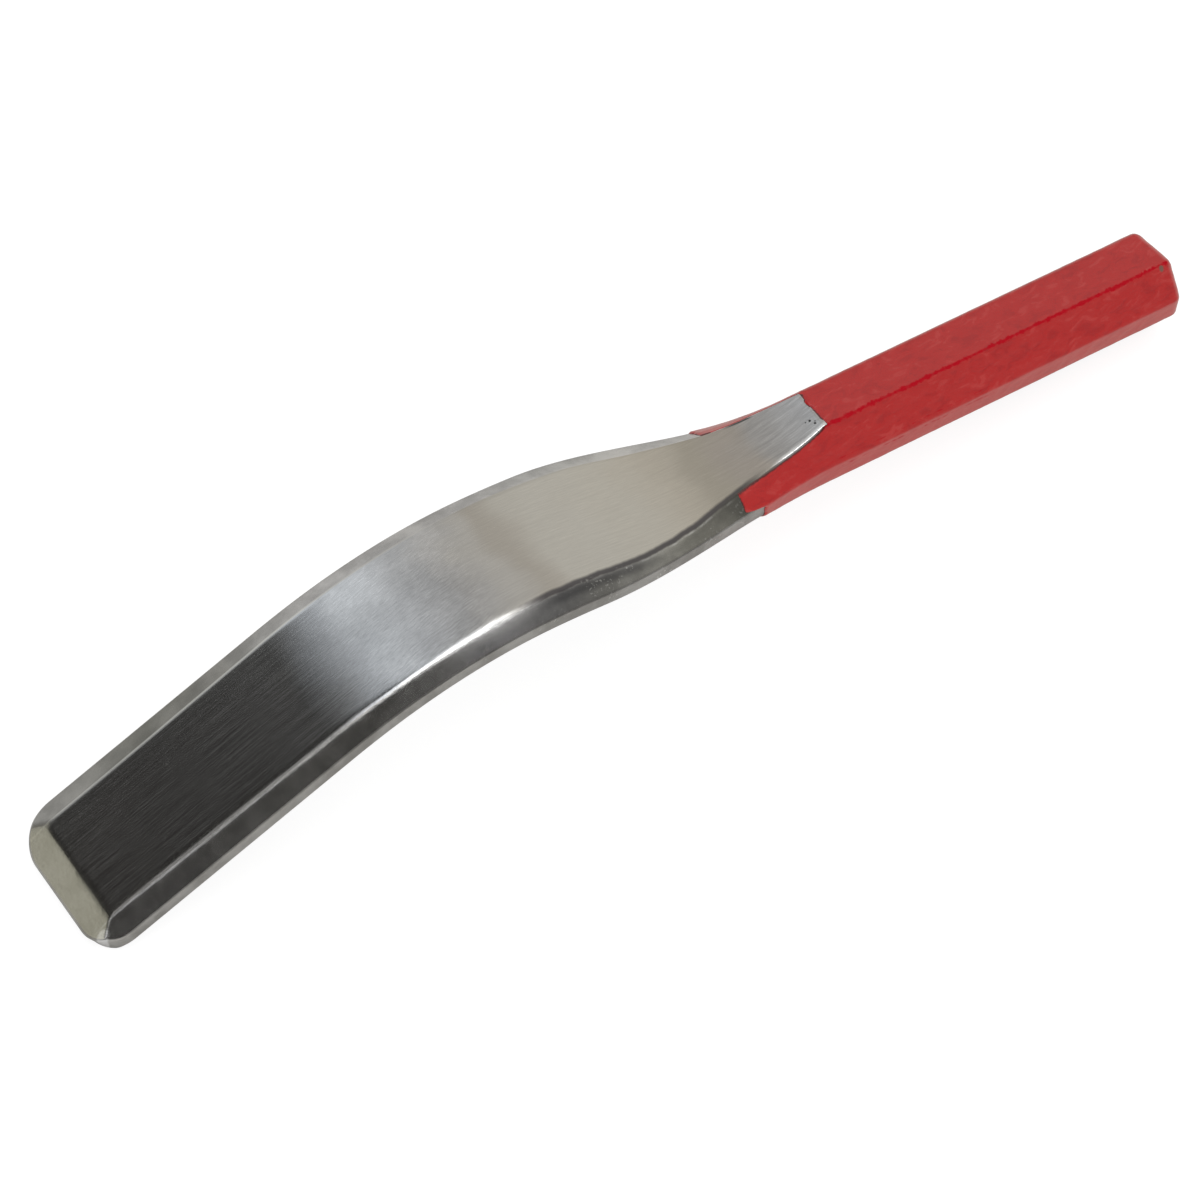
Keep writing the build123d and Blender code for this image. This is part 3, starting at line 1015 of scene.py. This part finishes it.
def enamel_material():
    material, nodes, surface = new_material("red_enamel")
    shader = nodes.add("ShaderNodeBsdfPrincipled")
    nodes.link(shader.outputs[0], surface)
    here = nodes.here()
    clouds = nodes.noise(here, 160.0, 4.0, 0.6)
    stretched = nodes.add("ShaderNodeMapping")
    stretched.inputs["Scale"].default_value = (0.45, 1.0, 1.0)
    nodes.link(here, stretched.inputs["Vector"])
    wrinkles = nodes.noise(stretched.outputs[0], 420.0, 4.0, 0.6, 0.8)
    nodes.link(enamel_color(nodes, clouds, wrinkles), shader.inputs["Base Color"])
    dull = ridge_mask(nodes)
    shader.inputs["Roughness"].default_value = 0.36
    nodes.link(nodes.math("MULTIPLY_ADD", dull, -0.40, 0.45), shader.inputs["Specular IOR Level"])
    nodes.link(nodes.math("MULTIPLY_ADD", dull, -0.25, 0.28), shader.inputs["Coat Weight"])
    shader.inputs["Coat Roughness"].default_value = 0.16
    normal = nodes.bump(wrinkles, 0.7, 0.00022)
    peel = nodes.noise(here, 1100.0, 2.0, 0.5)
    normal = nodes.bump(peel, 0.35, 0.00006, normal)
    nodes.link(normal, shader.inputs["Normal"])
    nodes.link(normal, shader.inputs["Coat Normal"])
    return material


# ---- Light, floor and camera ----
# Brightness of the studio by compass direction: degrees from +Y towards +X, level, tint
STUDIO = (
    (-180, 0.10, (1, 0.98, 0.95)),
    (-125, 0.085, (1, 0.98, 0.95)),
    (-100, 0.075, (1, 0.98, 0.95)),
    (-70, 0.030, (1, 0.97, 0.92)),
    (-38, 0.030, (1, 0.97, 0.92)),
    (-33, 0.13, (0.96, 0.98, 1)),
    (-27, 0.45, (0.95, 0.98, 1)),
    (-20, 0.80, (0.95, 0.98, 1)),
    (-10, 0.74, (0.95, 0.98, 1)),
    (0, 0.60, (0.98, 0.99, 1)),
    (20, 0.56, (1, 0.99, 0.97)),
    (38, 0.60, (1, 0.98, 0.94)),
    (54, 0.70, (1, 0.98, 0.94)),
    (80, 0.60, (1, 0.98, 0.94)),
    (105, 0.34, (1, 0.98, 0.94)),
    (140, 0.22, (1, 0.98, 0.96)),
    (170, 0.16, (1, 0.98, 0.96)),
)
STRIP_LEVEL = 3.2  # a long strip light overhead, along X, seen only in reflections


def reflector(nodes, direction, towards, edge, core):
    """A round soft-edged card in one direction; edge and core are cosines of its half angles."""
    facing = nodes.add("ShaderNodeVectorMath", operation="DOT_PRODUCT")
    nodes.link(direction, facing.inputs[0])
    facing.inputs[1].default_value = Vector(towards).normalized()
    return nodes.remap(facing.outputs["Value"], edge, core)


def studio_world():
    world = bpy.data.worlds.new("studio")
    world.use_nodes = True
    bpy.context.scene.world = world
    nodes = Nodes(world.node_tree)
    output = nodes.add("ShaderNodeOutputWorld")
    light = nodes.add("ShaderNodeBackground")
    backdrop = nodes.add("ShaderNodeBackground")
    backdrop.inputs[0].default_value = (1.0, 1.0, 1.0, 1)
    direction = nodes.add("ShaderNodeTexCoord").outputs["Generated"]
    split = nodes.add("ShaderNodeSeparateXYZ")
    nodes.link(direction, split.inputs[0])
    compass = nodes.math("ARCTAN2", split.outputs[0], split.outputs[1])
    share = nodes.math("MULTIPLY_ADD", compass, 1 / (2 * math.pi), 0.5)
    stops = [((degrees + 180) / 360, level, tint) for degrees, level, tint in STUDIO]
    color = nodes.ramp(share, stops)

    # A low pale card beyond the tip
    card = reflector(nodes, direction, (-0.77, 0.49, 0.30), 0.88, 0.97)
    low = nodes.remap(split.outputs[2], 0.42, 0.55, 1.0, 0.0)
    color = nodes.mix_color(nodes.times(card, low), color, (0.54, 0.53, 0.46, 1))

    # A low pale card on the near side, which draws a light line along the lands' upper rims
    card = reflector(nodes, direction, (-0.62, -0.77, 0.10), 0.84, 0.93)
    color = nodes.mix_color(card, color, (0.75, 0.74, 0.72, 1))

    # The strip light
    paths = nodes.add("ShaderNodeLightPath")
    strip = nodes.window(split.outputs[1], 0.0, 0.07, 0.15, 0.22)
    strip = nodes.times(strip, nodes.remap(split.outputs[0], 0.20, 0.40, 1.0, 0.0))
    strip = nodes.times(strip, nodes.remap(split.outputs[0], -0.45, -0.12, 0.22, 1.0))
    strip = nodes.times(strip, nodes.remap(split.outputs[2], 0.40, 0.60))
    strip = nodes.times(strip, paths.outputs["Is Glossy Ray"])
    color = nodes.mix_color(strip, color, (STRIP_LEVEL, STRIP_LEVEL, STRIP_LEVEL, 1))
    nodes.link(color, light.inputs[0])

    choose = nodes.add("ShaderNodeMixShader")
    nodes.link(paths.outputs["Is Camera Ray"], choose.inputs[0])
    nodes.link(light.outputs[0], choose.inputs[1])
    nodes.link(backdrop.outputs[0], choose.inputs[2])
    nodes.link(choose.outputs[0], output.inputs[0])


def soft_daylight():
    """A wide soft lamp that lights the handle's top and near faces alike."""
    lamp = bpy.data.lights.new("overhead", "SUN")
    lamp.energy = 2.6
    lamp.angle = math.radians(120.0)
    holder = bpy.data.objects.new("overhead", lamp)
    holder.rotation_euler = (math.radians(29.0), 0.0, 0.0)
    holder.visible_glossy = False
    bpy.context.scene.collection.objects.link(holder)
    holder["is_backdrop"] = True


def pale_floor():
    """A white sweep that glows for the camera and looks greyer in reflections."""
    reach = 6.0
    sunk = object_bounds()[0].z - 0.0001
    corners = [(-reach, -reach, sunk), (reach, -reach, sunk), (reach, reach, sunk), (-reach, reach, sunk)]
    floor = make_object("floor", np.array(corners), [(0, 1, 2, 3)])
    material, nodes, surface = new_material("pale_floor")
    matte = nodes.add("ShaderNodeBsdfDiffuse")
    glow = nodes.add("ShaderNodeEmission")
    seen = nodes.add("ShaderNodeAddShader")
    paths = nodes.add("ShaderNodeLightPath")
    shown = paths.outputs["Is Camera Ray"]
    matte_color = nodes.mix_color(shown, (0.80, 0.80, 0.79, 1), (0.26, 0.26, 0.26, 1))
    matte_color = nodes.mix_color(paths.outputs["Is Glossy Ray"], matte_color, (0.50, 0.495, 0.485, 1))
    nodes.link(matte_color, matte.inputs["Color"])
    nodes.link(nodes.times(shown, 0.84), glow.inputs["Strength"])
    nodes.link(matte.outputs[0], seen.inputs[0])
    nodes.link(glow.outputs[0], seen.inputs[1])
    # Clear from below, so that the lever's underside can be looked at
    clear = nodes.add("ShaderNodeBsdfTransparent")
    one_sided = nodes.add("ShaderNodeMixShader")
    nodes.link(nodes.add("ShaderNodeNewGeometry").outputs["Backfacing"], one_sided.inputs[0])
    nodes.link(seen.outputs[0], one_sided.inputs[1])
    nodes.link(clear.outputs[0], one_sided.inputs[2])
    nodes.link(one_sided.outputs[0], surface)
    floor.data.materials.append(material)
    floor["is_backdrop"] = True


CAMERA_AZIMUTH = -32.96
CAMERA_ELEVATION = 55.33
CAMERA_ROLL = -0.67
CAMERA_DISTANCE = 1.1647
CAMERA_LENS = 150.0
CAMERA_AIM = (-0.0065, 0.0009, 0.0)


def photo_camera():
    azimuth, elevation = math.radians(CAMERA_AZIMUTH), math.radians(CAMERA_ELEVATION)
    towards = Vector((
        math.sin(azimuth) * math.cos(elevation),
        -math.cos(azimuth) * math.cos(elevation),
        math.sin(elevation),
    ))
    lens = bpy.data.cameras.new("photo_camera")
    lens.lens = CAMERA_LENS
    lens.sensor_width = 36.0
    camera = bpy.data.objects.new("photo_camera", lens)
    turn = towards.to_track_quat("Z", "Y").to_matrix().to_4x4()
    roll = Matrix.Rotation(math.radians(CAMERA_ROLL), 4, "Z")
    camera.matrix_world = Matrix.Translation(Vector(CAMERA_AIM) + towards * CAMERA_DISTANCE) @ turn @ roll
    bpy.context.scene.collection.objects.link(camera)
    bpy.context.scene.camera = camera


# ---- The scene ----
steel = forging_mesh()
steel.data.materials.append(steel_material())
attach(steel, "root")
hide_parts("forged_lever")

enamel = enamel_mesh()
enamel.data.materials.append(enamel_material())
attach(enamel, "root")
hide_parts("handle_enamel")

studio_world()
soft_daylight()
pale_floor()
photo_camera()
bpy.context.scene.view_settings.view_transform = "Standard"
bpy.context.scene.cycles.use_denoising = True
